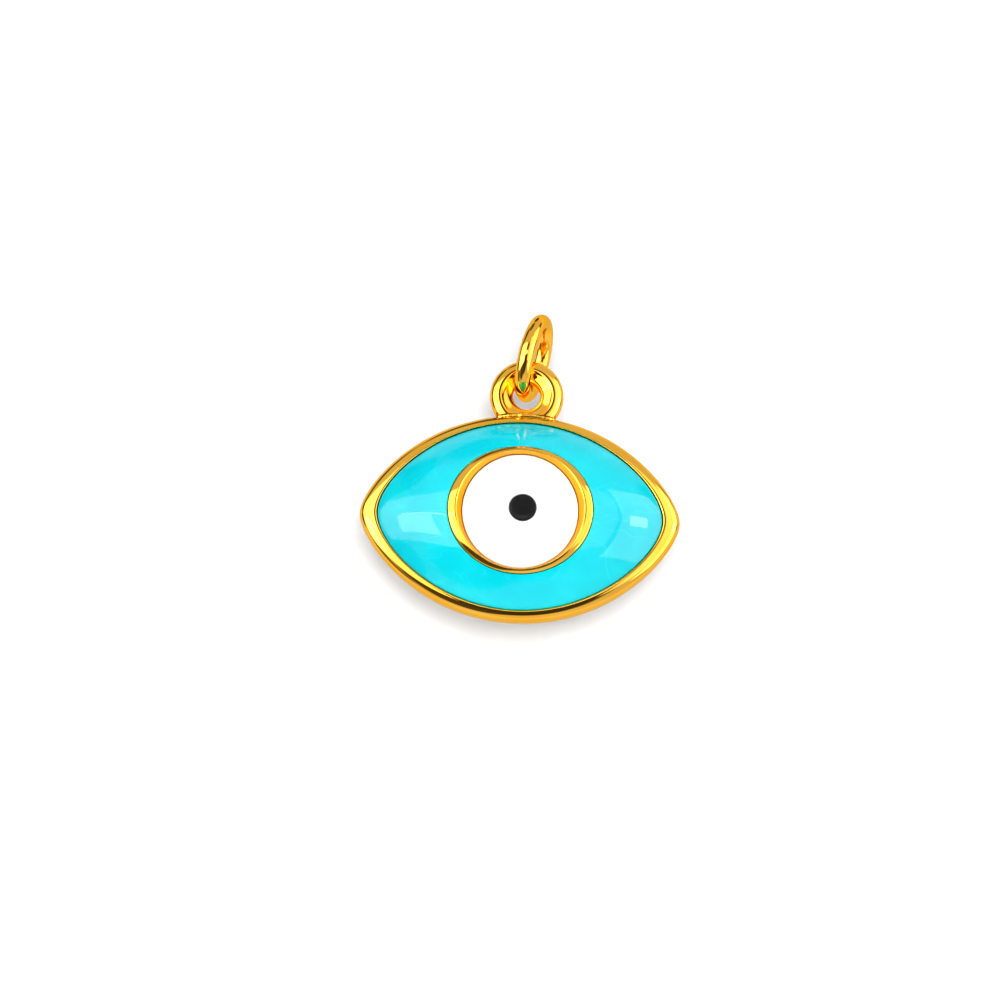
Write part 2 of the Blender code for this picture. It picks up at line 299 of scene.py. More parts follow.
class CharmSizes(bpy.types.PropertyGroup):
    """Sizes that can be changed before the charm is modelled."""

    wire_radius: bpy.props.FloatProperty(
        name="Wire radius",
        description="Radius of the jump ring's round wire",
        default=0.00045,
        min=0.0001,
        unit="LENGTH",
    )
    seam_gap: bpy.props.FloatProperty(
        name="Seam gap",
        description="Gap between the two cut ends of the jump ring",
        default=0.00003,
        unit="LENGTH",
    )
    loop_hole_radius: bpy.props.FloatProperty(
        name="Loop hole radius",
        description="Radius of the hole through the fixed hanging loop",
        default=0.00078,
        unit="LENGTH",
    )
    solder_radius: bpy.props.FloatProperty(
        name="Solder radius",
        description="Radius of the bead of solder round the foot of the loop",
        default=0.00015,
        unit="LENGTH",
    )


class CharmColours(bpy.types.PropertyGroup):
    """Colours of the charm's finishes."""

    gold: bpy.props.FloatVectorProperty(
        name="Gold",
        description="Main colour of the polished gold plating",
        default=(1.0, 0.54, 0.072),
        subtype="COLOR",
        min=0.0,
        max=1.0,
    )
    deep_gold: bpy.props.FloatVectorProperty(
        name="Deep gold",
        description="Warmer colour that the plating drifts to",
        default=(0.97, 0.475, 0.045),
        subtype="COLOR",
        min=0.0,
        max=1.0,
    )
    turquoise: bpy.props.FloatVectorProperty(
        name="Turquoise",
        description="Main colour of the turquoise enamel",
        default=(0.0, 0.60, 0.71),
        subtype="COLOR",
        min=0.0,
        max=1.0,
    )
    pale_turquoise: bpy.props.FloatVectorProperty(
        name="Pale turquoise",
        description="Colour of the paler clouds in the turquoise enamel",
        default=(0.003, 0.67, 0.76),
        subtype="COLOR",
        min=0.0,
        max=1.0,
    )
    white: bpy.props.FloatVectorProperty(
        name="White",
        description="Colour of the white enamel",
        default=(0.90, 0.90, 0.91),
        subtype="COLOR",
        min=0.0,
        max=1.0,
    )
    black: bpy.props.FloatVectorProperty(
        name="Black",
        description="Colour of the black enamel",
        default=(0.011, 0.011, 0.011),
        subtype="COLOR",
        min=0.0,
        max=1.0,
    )


# Outlines and the shared ways of modelling.


def lens(half_width, half_height, handles):
    """Closed lens outline in X and Z, anticlockwise from its right tip as seen from the front."""
    flank, tip = half_width * handles[0], half_height * handles[1]
    quarter = []
    for step in range(QUARTER_STEPS + 1):
        t = step / QUARTER_STEPS
        s = 1.0 - t
        x = (s**3 + 3 * s * s * t) * half_width + 3 * s * t * t * flank
        z = 3 * s * s * t * tip + (3 * s * t * t + t**3) * half_height
        quarter.append((x, z))
    upper = quarter + [(-x, z) for x, z in reversed(quarter[:-1])]
    lower = [(x, -z) for x, z in reversed(upper[1:-1])]
    return upper + lower


def on_rays(outline, half_width, half_height):
    """An ellipse with one point on the same ray from the middle as each point of the outline."""
    points = []
    for x, z in outline:
        scale = 1.0 / math.hypot(x / half_width, z / half_height)
        points.append((x * scale, z * scale))
    return points


def circle(radius, count, x=0.0, z=0.0):
    turns = [2.0 * math.pi * index / count for index in range(count)]
    return [(x + radius * math.cos(turn), z + radius * math.sin(turn)) for turn in turns]


def between(first, second, share):
    """The outline this share of the way from the first outline to the second."""
    return [(a[0] + (b[0] - a[0]) * share, a[1] + (b[1] - a[1]) * share) for a, b in zip(first, second)]


def placed(outline, depth):
    """The outline in the eye's place, this far behind the rim's crest."""
    return [Vector((EYE_X + x, CREST_Y + depth, EYE_Z + z)) for x, z in outline]


def dome_depth(ratio):
    return FIELD_EDGE - FIELD_RISE * (1.0 - min(ratio, 1.0) ** FIELD_POWER)


def on_dome(outline, edge, behind):
    """The outline laid on the turquoise dome, then moved back."""
    points = []
    for (x, z), (edge_x, edge_z) in zip(outline, edge):
        ratio = math.hypot(x, z) / math.hypot(edge_x, edge_z)
        points.append(Vector((EYE_X + x, CREST_Y + dome_depth(ratio) + behind, EYE_Z + z)))
    return points


def white_depth(x, z):
    return WHITE_EDGE - WHITE_DOME * (1.0 - min((x * x + z * z) / WHITE_RADIUS**2, 1.0))


def direction(across, up):
    """Unit vector this many degrees to the right of the front, and up from level."""
    across, up = math.radians(across), math.radians(up)
    return Vector((math.sin(across) * math.cos(up), -math.cos(across) * math.cos(up), math.sin(up)))


def grey(level):
    return (level, level, level)


def start_clean():
    if bpy.context.object and bpy.context.object.mode != "OBJECT":
        bpy.ops.object.mode_set(mode="OBJECT")
    bpy.ops.object.select_all(action="DESELECT")


def loft(name, rings, closed):
    """Extrudes a circle into a tube with one loop for each ring, and lays each loop on its ring."""
    start_clean()
    count = len(rings[0])
    if closed:
        rings = [*rings, rings[0]]
    bpy.ops.mesh.primitive_circle_add(
        vertices=count, radius=1.0, fill_type="NOTHING", location=(0.0, 0.0, 0.0)
    )
    made = bpy.context.object
    made.name = name
    bpy.ops.object.mode_set(mode="EDIT")
    for _ in rings[1:]:
        bpy.ops.mesh.extrude_region_move(TRANSFORM_OT_translate={"value": (0.0, 0.0, 1.0)})
    bpy.ops.object.mode_set(mode="OBJECT")
    for vertex in made.data.vertices:
        turn = math.atan2(vertex.co.y, vertex.co.x) / (2.0 * math.pi)
        vertex.co = rings[round(vertex.co.z)][round(turn * count) % count]
    close_up(made)
    return made


def close_up(made):
    """Merges the seams, fills the open ends and turns the faces outwards."""
    bpy.ops.object.mode_set(mode="EDIT")
    bpy.ops.mesh.select_all(action="SELECT")
    bpy.ops.mesh.remove_doubles(threshold=1e-7)
    bpy.ops.mesh.select_all(action="DESELECT")
    bpy.ops.mesh.select_non_manifold()
    edit = bmesh.from_edit_mesh(made.data)
    if any(edge.select for edge in edit.edges):
        bpy.ops.mesh.fill_holes(sides=0)
    bpy.ops.mesh.select_all(action="SELECT")
    bpy.ops.mesh.normals_make_consistent(inside=False)
    bpy.ops.object.mode_set(mode="OBJECT")


def smooth_out(made, levels):
    """Refines the piece with a subdivision surface and shades it smooth."""
    if levels:
        rounded = made.modifiers.new("Smooth surface", "SUBSURF")
        rounded.levels = levels
        rounded.render_levels = levels
        bpy.ops.object.modifier_apply(modifier=rounded.name)
    bpy.ops.object.shade_smooth_by_angle(angle=math.radians(CRISP_DEGREES))


def finish_piece(made, finish, body, slot, *nodes):
    """Gives the piece its finish and its body, and hides the frame's nodes that it stands for."""
    made.data.materials.clear()
    made.data.materials.append(finish)
    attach(made, body)
    if nodes:
        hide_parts(*nodes)


# Finishes.


def add_node(tree, kind, **settings):
    made = tree.nodes.new(kind)
    for name, value in settings.items():
        setattr(made, name, value)
    return made


def noise_node(tree, vector, scale, detail=3.0, roughness=0.5, distortion=0.0):
    made = add_node(tree, "ShaderNodeTexNoise")
    made.inputs["Scale"].default_value = scale
    made.inputs["Detail"].default_value = detail
    made.inputs["Roughness"].default_value = roughness
    made.inputs["Distortion"].default_value = distortion
    tree.links.new(vector, made.inputs["Vector"])
    return made.outputs["Fac"]


def remapped(tree, value, low, high, to_low=0.0, to_high=1.0):
    made = add_node(tree, "ShaderNodeMapRange", clamp=True)
    for socket, number in zip(("From Min", "From Max", "To Min", "To Max"), (low, high, to_low, to_high)):
        if isinstance(number, bpy.types.NodeSocket):
            tree.links.new(number, made.inputs[socket])
        else:
            made.inputs[socket].default_value = number
    tree.links.new(value, made.inputs["Value"])
    return made.outputs["Result"]


def arithmetic(tree, operation, first, second):
    made = add_node(tree, "ShaderNodeMath", operation=operation)
    for socket, value in zip(made.inputs, (first, second)):
        if isinstance(value, bpy.types.NodeSocket):
            tree.links.new(value, socket)
        else:
            socket.default_value = value
    return made.outputs[0]


def mixed_colour(tree, mask, first, second):
    made = add_node(tree, "ShaderNodeMix", data_type="RGBA")
    tree.links.new(mask, made.inputs["Factor"])
    for socket, colour in ((made.inputs[6], first), (made.inputs[7], second)):
        if isinstance(colour, bpy.types.NodeSocket):
            tree.links.new(colour, socket)
        else:
            socket.default_value = (*colour, 1.0)
    return made.outputs[2]


def new_group(name, inputs, outputs):
    """A shader node group with named float inputs, a vector input and float outputs."""
    group = bpy.data.node_groups.new(name, "ShaderNodeTree")
    group.interface.new_socket("Vector", in_out="INPUT", socket_type="NodeSocketVector")
    for label, value in inputs:
        socket = group.interface.new_socket(label, in_out="INPUT", socket_type="NodeSocketFloat")
        socket.default_value = value
    for label in outputs:
        group.interface.new_socket(label, in_out="OUTPUT", socket_type="NodeSocketFloat")
    start = add_node(group, "NodeGroupInput")
    end = add_node(group, "NodeGroupOutput")
    return group, start, end


def polishing_group():
    """Polished metal: slow drift of tone, hairline polishing marks, and a softly dented surface."""
    inputs = (("Tone", 1.0), ("Low Roughness", 0.05), ("High Roughness", 0.12), ("Marks", 1.0))
    group, start, end = new_group("Polished Metal", inputs, ("Tone", "Roughness", "Height"))
    vector = start.outputs["Vector"]
    drift = noise_node(group, vector, DRIFT_SCALE, detail=2.0)
    tone = arithmetic(group, "MULTIPLY", remapped(group, drift, 0.35, 0.68), start.outputs["Tone"])
    group.links.new(tone, end.inputs["Tone"])

    stretched = add_node(group, "ShaderNodeMapping")
    stretched.inputs["Rotation"].default_value = (0.0, 0.5, 0.3)
    stretched.inputs["Scale"].default_value = (1.0, 9.0, 9.0)
    group.links.new(vector, stretched.inputs["Vector"])
    hairlines = noise_node(group, stretched.outputs["Vector"], HAIRLINE_SCALE, detail=4.0, roughness=0.65)
    haze = noise_node(group, vector, WEAR_SCALE, detail=5.0, roughness=0.6)
    worn = arithmetic(group, "MULTIPLY", hairlines, haze)
    roughness = remapped(
        group, worn, 0.12, 0.42, start.outputs["Low Roughness"], start.outputs["High Roughness"]
    )
    group.links.new(roughness, end.inputs["Roughness"])

    waves = noise_node(group, vector, WAVE_SCALE, detail=1.0)
    lines = arithmetic(group, "MULTIPLY", hairlines, 0.02)
    height = arithmetic(group, "MULTIPLY", arithmetic(group, "ADD", waves, lines), start.outputs["Marks"])
    group.links.new(height, end.inputs["Height"])


def glaze_group():
    """Fired enamel: clouds, thin wandering swirls, pinholes and a slight orange peel."""
    inputs = (("Cloud Scale", 320.0), ("Peel", 1.0))
    outputs = ("Clouds", "Swirls", "Pinholes", "Roughness", "Height")
    group, start, end = new_group("Fired Glaze", inputs, outputs)
    vector = start.outputs["Vector"]
    cloud = add_node(group, "ShaderNodeTexNoise")
    cloud.inputs["Detail"].default_value = 3.0
    cloud.inputs["Distortion"].default_value = 0.6
    group.links.new(vector, cloud.inputs["Vector"])
    group.links.new(start.outputs["Cloud Scale"], cloud.inputs["Scale"])
    group.links.new(remapped(group, cloud.outputs["Fac"], 0.38, 0.66), end.inputs["Clouds"])

    wandering = noise_node(group, vector, SWIRL_SCALE, detail=1.0, distortion=2.2)
    centred = arithmetic(group, "ABSOLUTE", arithmetic(group, "SUBTRACT", wandering, 0.52), 0.0)
    swirls = remapped(group, centred, 0.0, 0.012, 1.0, 0.0)
    group.links.new(swirls, end.inputs["Swirls"])

    cells = add_node(group, "ShaderNodeTexVoronoi")
    cells.inputs["Scale"].default_value = PINHOLE_SCALE
    group.links.new(vector, cells.inputs["Vector"])
    pinholes = remapped(group, cells.outputs["Distance"], 0.03, 0.07, 1.0, 0.0)
    group.links.new(pinholes, end.inputs["Pinholes"])

    haze = noise_node(group, vector, GLAZE_HAZE_SCALE, detail=4.0)
    group.links.new(remapped(group, haze, 0.35, 0.7, 0.025, 0.075), end.inputs["Roughness"])
    peel = noise_node(group, vector, PEEL_SCALE, detail=1.0)
    dented = arithmetic(group, "SUBTRACT", peel, arithmetic(group, "MULTIPLY", pinholes, 0.25))
    group.links.new(arithmetic(group, "MULTIPLY", dented, start.outputs["Peel"]), end.inputs["Height"])


def new_finish(name, group, values):
    """A Principled material with the shared group placed in it, read in Object coordinates."""
    finish = bpy.data.materials.new(name)
    finish.use_nodes = True
    tree = finish.node_tree
    shader = tree.nodes["Principled BSDF"]
    coordinates = add_node(tree, "ShaderNodeTexCoord")
    effect = add_node(tree, "ShaderNodeGroup", node_tree=group)
    tree.links.new(coordinates.outputs["Object"], effect.inputs["Vector"])
    for label, value in values.items():
        effect.inputs[label].default_value = value
    return finish, tree, shader, effect


def add_bump(tree, shader, height, distance):
    bump = add_node(tree, "ShaderNodeBump")
    bump.inputs["Strength"].default_value = 1.0
    bump.inputs["Distance"].default_value = distance
    tree.links.new(height, bump.inputs["Height"])
    tree.links.new(bump.outputs["Normal"], shader.inputs["Normal"])


def gold_finish(name, low, high, marks):
    """Polished gold plating."""
    colours = bpy.context.scene.charm_colours
    values = {"Low Roughness": low, "High Roughness": high, "Marks": marks}
    finish, tree, shader, effect = new_finish(name, bpy.data.node_groups["Polished Metal"], values)
    shader.inputs["Metallic"].default_value = 1.0
    shader.inputs["Specular Tint"].default_value = GOLD_EDGE_TINT
    colour = mixed_colour(tree, effect.outputs["Tone"], colours.gold, colours.deep_gold)
    tree.links.new(colour, shader.inputs["Base Color"])
    tree.links.new(effect.outputs["Roughness"], shader.inputs["Roughness"])
    add_bump(tree, shader, effect.outputs["Height"], GOLD_BUMP)
    finish.diffuse_color = (*colours.gold, 1.0)
    return finish


def glaze_finish(name, main, cloud, swirl, pinhole, cloud_scale, peel, gloss=0.30):
    """Glossy enamel under a clear coat."""
    values = {"Cloud Scale": cloud_scale, "Peel": peel}
    finish, tree, shader, effect = new_finish(name, bpy.data.node_groups["Fired Glaze"], values)
    clouded = mixed_colour(tree, effect.outputs["Clouds"], main, cloud)
    swirls = arithmetic(tree, "MULTIPLY", effect.outputs["Swirls"], SWIRL_STRENGTH)
    swirled = mixed_colour(tree, swirls, clouded, swirl)
    pinholes = arithmetic(tree, "MULTIPLY", effect.outputs["Pinholes"], PINHOLE_STRENGTH)
    pitted = mixed_colour(tree, pinholes, swirled, pinhole)
    tree.links.new(pitted, shader.inputs["Base Color"])
    tree.links.new(effect.outputs["Roughness"], shader.inputs["Roughness"])
    shader.inputs["Specular IOR Level"].default_value = gloss
    shader.inputs["Coat Weight"].default_value = gloss / 2.0
    shader.inputs["Coat Roughness"].default_value = 0.03
    add_bump(tree, shader, effect.outputs["Height"], GLAZE_BUMP)
    finish.diffuse_color = (*main, 1.0)
    return finish


class CHARM_OT_finishes(bpy.types.Operator):
    """Makes the shared node groups and the charm's finishes"""

    bl_idname = "charm.finishes"
    bl_label = "Finishes"

    def execute(self, context):
        colours = context.scene.charm_colours
        polishing_group()
        glaze_group()
        gold_finish("mirror_gold", 0.045, 0.11, 1.0)
        gold_finish("iris_gold", 0.04, 0.10, 0.8)
        gold_finish("back_gold", 0.10, 0.24, 1.6)
        gold_finish("solder_gold", 0.16, 0.34, 3.0)
        glaze_finish(
            "fired_turquoise",
            main=colours.turquoise,
            cloud=colours.pale_turquoise,
            swirl=(0.03, 0.80, 0.87),
            pinhole=(0.0, 0.45, 0.55),
            cloud_scale=330.0,
            peel=1.0,
        )
        glaze_finish(
            "fired_white",
            main=colours.white,
            cloud=(0.87, 0.87, 0.89),
            swirl=(0.93, 0.93, 0.93),
            pinhole=(0.7, 0.7, 0.72),
            cloud_scale=400.0,
            peel=0.8,
        )
        glaze_finish(
            "fired_black",
            main=colours.black,
            cloud=(0.013, 0.013, 0.013),
            swirl=(0.018, 0.018, 0.018),
            pinhole=(0.03, 0.03, 0.03),
            cloud_scale=900.0,
            peel=1.2,
            gloss=0.06,
        )
        frame["nodes"]["front_tray"].material_slots[0].material = bpy.data.materials["back_gold"]
        return {"FINISHED"}


# The pieces.


class CHARM_OT_jump_ring(bpy.types.Operator):
    """Models the jump ring: round wire spun about the swing axis, with its two cut ends at the back"""

    bl_idname = "charm.jump_ring"
    bl_label = "Jump Ring"

    def execute(self, context):
        sizes = context.scene.charm_sizes
        start_clean()
        radius = RING_INNER_RADIUS + sizes.wire_radius
        front = RING_AXIS.cross(RING_UP)
        seam = sizes.seam_gap / radius
        turned = Quaternion(RING_AXIS, math.radians(SEAM_DEGREES) + seam / 2.0)
        outwards = turned @ RING_UP
        along = turned @ front
        bpy.ops.mesh.primitive_circle_add(
            vertices=WIRE_SIDES,
            radius=sizes.wire_radius,
            fill_type="NGON",
            location=RING_CENTRE + outwards * radius,
            rotation=along.to_track_quat("Z", "Y").to_euler(),
        )
        made = context.object
        made.name = "jump_ring_wire"
        bpy.ops.object.transform_apply(location=True, rotation=True, scale=True)
        bpy.ops.object.mode_set(mode="EDIT")
        bpy.ops.mesh.select_all(action="SELECT")
        bpy.ops.mesh.spin(steps=RING_STEPS, angle=2.0 * math.pi - seam, center=RING_CENTRE, axis=RING_AXIS)
        bpy.ops.mesh.select_all(action="SELECT")
        bpy.ops.mesh.normals_make_consistent(inside=False)
        bpy.ops.mesh.select_all(action="DESELECT")
        edit = bmesh.from_edit_mesh(made.data)
        for face in edit.faces:
            if len(face.verts) > 4:
                for edge in face.edges:
                    edge.select = True
        bmesh.update_edit_mesh(made.data)
        bpy.ops.mesh.bevel(offset=CUT_ROUNDING, segments=3)
        bpy.ops.object.mode_set(mode="OBJECT")
        smooth_out(made, 0)
        finish_piece(made, bpy.data.materials["mirror_gold"], "jump_ring", "polished_gold", "jump_ring")
        return {"FINISHED"}


class CHARM_OT_hanging_loop(bpy.types.Operator):
    """Models the fixed loop, with its countersunk hole and its foot cut to the rim, and its solder"""

    bl_idname = "charm.hanging_loop"
    bl_label = "Hanging Loop"

    def execute(self, context):
        sizes = context.scene.charm_sizes
        hole = sizes.loop_hole_radius
        half = [(hole + outwards, LOOP_HALF_DEPTH * share) for outwards, share in LOOP_COUNTERSINK]
        half += [(LOOP_RADIUS + outwards, LOOP_HALF_DEPTH * share) for outwards, share in LOOP_SHOULDER]
        section = [(radius, -depth) for radius, depth in half]
        section += [(radius, depth) for radius, depth in reversed(half[1:-1])]
        rings = []
        for radius, depth in section:
            ring = circle(radius, LOOP_SIDES, LOOP_X, LOOP_Z)
            rings.append([Vector((x, LOOP_Y + depth, z)) for x, z in ring])
        made = loft("hanging_loop_disc", rings, closed=True)
        smooth_out(made, 2)
        self.cut_foot(made)
        finish_piece(made, bpy.data.materials["mirror_gold"], "eye", "polished_gold", "hanging_loop")
        self.add_solder(sizes.solder_radius)
        return {"FINISHED"}

    def cut_foot(self, made):
        outline = lens(EYE_HALF_WIDTH + FIT, EYE_HALF_HEIGHT + FIT, EYE_HANDLES)
        ends = [placed(outline, -FOOT_CUTTER_DEPTH), placed(outline, FOOT_CUTTER_DEPTH)]
        cutter = loft("foot_cutter", ends, closed=False)
        start_clean()
        made.select_set(True)
        bpy.context.view_layer.objects.active = made
        cut = made.modifiers.new("Foot", "BOOLEAN")
        cut.operation = "DIFFERENCE"
        cut.object = cutter
        bpy.ops.object.modifier_apply(modifier=cut.name)
        bpy.data.objects.remove(cutter, do_unlink=True)
        bpy.ops.object.shade_smooth_by_angle(angle=math.radians(CRISP_DEGREES))

    def add_solder(self, radius):
        """A torus drawn out to the foot's footprint, laid on the rim's curve and made uneven."""
        start_clean()
        bpy.ops.mesh.primitive_torus_add(
            major_segments=120,
            minor_segments=12,
            major_radius=1.0,
            minor_radius=TORUS_TUBE,
            location=(0.0, 0.0, 0.0),
        )
        made = bpy.context.object
        made.name = "solder_bead"
        outline = lens(EYE_HALF_WIDTH, EYE_HALF_HEIGHT, EYE_HANDLES)
        rim_top = [point for point in outline if point[1] > 0.0]
        half_depth = LOOP_HALF_DEPTH * SOLDER_DEPTH_SHARE
        for vertex in made.data.vertices:
            turn = math.atan2(vertex.co.y, vertex.co.x)
            spread = math.hypot(vertex.co.x, vertex.co.y) - 1.0
            wavering = noise.noise(Vector((math.cos(turn) * 9.0, math.sin(turn) * 3.0, 4.2)))
            thickness = radius * (1.0 + SOLDER_WAVER * wavering) / TORUS_TUBE
            x = LOOP_X + self.squared(math.cos(turn)) * SOLDER_HALF_LENGTH
            y = LOOP_Y + self.squared(math.sin(turn)) * half_depth
            x += math.cos(turn) * spread * thickness
            y += math.sin(turn) * spread * thickness
            z = EYE_Z + self.height_of(rim_top, x - EYE_X) - SOLDER_SINK + vertex.co.z * thickness
            vertex.co = (x, y, z)
        smooth_out(made, 1)
        finish_piece(made, bpy.data.materials["solder_gold"], "eye", "polished_gold")

    def squared(self, share):
        """The share drawn towards the ends, so that an ellipse nears a rectangle."""
        return math.copysign(abs(share) ** SOLDER_SQUARENESS, share)

    def height_of(self, outline, x):
        """Height of the outline at this X."""
        for (first_x, first_z), (second_x, second_z) in zip(outline, outline[1:]):
            if second_x <= x <= first_x:
                share = (first_x - x) / (first_x - second_x)
                return first_z + (second_z - first_z) * share
        return outline[0][1]


class CHARM_OT_rim(bpy.types.Operator):
    """Models the rim, which rounds outwards from its crest beside the enamel"""

    bl_idname = "charm.rim"
    bl_label = "Rim"

    def execute(self, context):
        outer = lens(EYE_HALF_WIDTH, EYE_HALF_HEIGHT, EYE_HANDLES)
        inner = lens(FIELD_HALF_WIDTH + FIT, FIELD_HALF_HEIGHT + FIT, FIELD_HANDLES)
        rings = [placed(between(outer, inner, share), depth) for share, depth in RIM_SECTION]
        made = loft("rim_bezel", rings, closed=True)
        smooth_out(made, 2)
        finish_piece(made, bpy.data.materials["mirror_gold"], "eye", "polished_gold", "rim")
        return {"FINISHED"}


class CHARM_OT_back_plate(bpy.types.Operator):
    """Models the flat back sheet with its rounded edge"""

    bl_idname = "charm.back_plate"
    bl_label = "Back Plate"

    def execute(self, context):
        outer = lens(EYE_HALF_WIDTH, EYE_HALF_HEIGHT, EYE_HANDLES)
        inner = lens(FIELD_HALF_WIDTH, FIELD_HALF_HEIGHT, FIELD_HANDLES)
        rings = [placed(between(outer, inner, share), depth) for share, depth in BACK_SECTION]
        for share in BACK_FLAT_SHARES:
            rings.append(placed([(x * share, z * share) for x, z in inner], BACK_FACE))
        made = loft("back_sheet", rings, closed=False)
        smooth_out(made, 2)
        finish_piece(made, bpy.data.materials["back_gold"], "eye", "polished_gold", "back_plate")
        return {"FINISHED"}


class CHARM_OT_iris_cup(bpy.types.Operator):
    """Models the gold iris: its thin lip, and the slope that flares down to the white"""

    bl_idname = "charm.iris_cup"
    bl_label = "Iris Cup"

    def execute(self, context):
        edge = lens(FIELD_HALF_WIDTH, FIELD_HALF_HEIGHT, FIELD_HANDLES)
        wall = on_rays(edge, CUP_HALF_WIDTH, CUP_HALF_HEIGHT)
        well = on_rays(edge, WHITE_RADIUS + FIT, WHITE_RADIUS + FIT)
        rings = [
            placed(between(wall, well, 0.5), CUP_BACK),
            placed(wall, CUP_BACK),
            placed(wall, CUP_BACK - CUP_WALL_STEP),
            on_dome(wall, edge, CUP_SINK),
        ]
        for share, rise in IRIS_RIDGE:
            rings.append(on_dome(between(wall, well, share), edge, -rise))
        lip_share, lip_rise = IRIS_RIDGE[-1]
        lip = on_dome(between(wall, well, lip_share), edge, -lip_rise)
        foot = placed(well, WHITE_EDGE)
        for share, drop in IRIS_SLOPE:
            flat = between(wall, well, lip_share + (1.0 - lip_share) * share)
            ring = []
            for index, (x, z) in enumerate(flat):
                y = lip[index].y + (foot[index].y - lip[index].y) * drop
                ring.append(Vector((EYE_X + x, y, EYE_Z + z)))
            rings.append(ring)
        rings += [placed(well, WHITE_EDGE + WELL_ROUNDING), placed(well, WHITE_FLOOR - FIT)]
        rings.append(placed(well, WHITE_FLOOR + FIT))
        rings.append(placed(between(well, [(0.0, 0.0)] * len(well), 0.5), WHITE_FLOOR + FIT))
        made = loft("iris_seat", rings, closed=False)
        smooth_out(made, 2)
        finish_piece(made, bpy.data.materials["iris_gold"], "eye", "polished_gold", "iris_cup")
        return {"FINISHED"}


class CHARM_OT_turquoise(bpy.types.Operator):
    """Models the domed turquoise field, with its edges rolled down where it meets the gold"""

    bl_idname = "charm.turquoise"
    bl_label = "Turquoise Enamel"

    def execute(self, context):
        edge = lens(FIELD_HALF_WIDTH, FIELD_HALF_HEIGHT, FIELD_HANDLES)
        iris = on_rays(edge, CUP_HALF_WIDTH + FIT, CUP_HALF_HEIGHT + FIT)
        rings = []
        for share in FIELD_FRONT_SHARES:
            sink = FIELD_EDGE_SINK if share in (FIELD_FRONT_SHARES[0], FIELD_FRONT_SHARES[-1]) else 0.0
            rings.append(on_dome(between(edge, iris, share), edge, sink))
        for share in FIELD_BACK_SHARES:
            rings.append(on_dome(between(edge, iris, share), edge, FIELD_THICKNESS))
        made = loft("turquoise_field", rings, closed=True)
        smooth_out(made, 2)
        finish = bpy.data.materials["fired_turquoise"]
        finish_piece(made, finish, "eye", "turquoise_glaze", "turquoise_enamel")
        return {"FINISHED"}


class CHARM_OT_white_and_pupil(bpy.types.Operator):
    """Models the round white and the black pupil laid into it"""

    bl_idname = "charm.white_and_pupil"
    bl_label = "White and Pupil"

    def execute(self, context):
        rim = circle(WHITE_RADIUS, WHITE_SIDES)
        well = circle(PUPIL_RADIUS + WELL_CLEARANCE, WHITE_SIDES, PUPIL_X, PUPIL_Z)
        well_middle = circle(0.0001, WHITE_SIDES, PUPIL_X, PUPIL_Z)
        face = white_depth(PUPIL_X, PUPIL_Z)
        rings = [placed(between(rim, well, 0.5), WHITE_FLOOR), placed(rim, WHITE_FLOOR)]
        rings.append(placed(rim, WHITE_EDGE + WHITE_ROUNDING))
        for share in WHITE_FACE_SHARES:
            outline = between(rim, well, share)
            rings.append([Vector((EYE_X + x, CREST_Y + white_depth(x, z), EYE_Z + z)) for x, z in outline])
        rings.append(placed(well, face + WELL_ROUNDING))
        rings.append(placed(well, face + WELL_DEPTH))
        rings.append(placed(between(well, well_middle, 0.6), face + WELL_DEPTH))
        made = loft("white_disc", rings, closed=False)
        smooth_out(made, 2)
        finish_piece(made, bpy.data.materials["fired_white"], "eye", "white_glaze", "white_enamel")

        rings = []
        for share, depth in PUPIL_SECTION:
            rings.append(placed(circle(PUPIL_RADIUS * share, PUPIL_SIDES, PUPIL_X, PUPIL_Z), face + depth))
        made = loft("pupil_dot", rings, closed=False)
        smooth_out(made, 2)
        finish_piece(made, bpy.data.materials["fired_black"], "eye", "black_glaze", "pupil_enamel")
        return {"FINISHED"}


# The stage.


def paper_finish():
    """Matt white paper that is seen from its front and is clear from behind."""
    finish = bpy.data.materials.new("studio_paper")
    finish.use_nodes = True
    tree = finish.node_tree
    shader = tree.nodes["Principled BSDF"]
    shader.inputs["Roughness"].default_value = 0.9
    shader.inputs["Specular IOR Level"].default_value = 0.0
    coordinates = add_node(tree, "ShaderNodeTexCoord")
    grain = noise_node(tree, coordinates.outputs["Object"], PAPER_GRAIN_SCALE, detail=3.0)
    colour = mixed_colour(tree, grain, grey(0.88), grey(0.90))
    tree.links.new(colour, shader.inputs["Base Color"])
    side = add_node(tree, "ShaderNodeNewGeometry")
    clear = add_node(tree, "ShaderNodeBsdfTransparent")
    either = add_node(tree, "ShaderNodeMixShader")
    tree.links.new(side.outputs["Backfacing"], either.inputs[0])
    tree.links.new(shader.outputs[0], either.inputs[1])
    tree.links.new(clear.outputs[0], either.inputs[2])
    tree.links.new(either.outputs[0], tree.nodes["Material Output"].inputs["Surface"])
    return finish


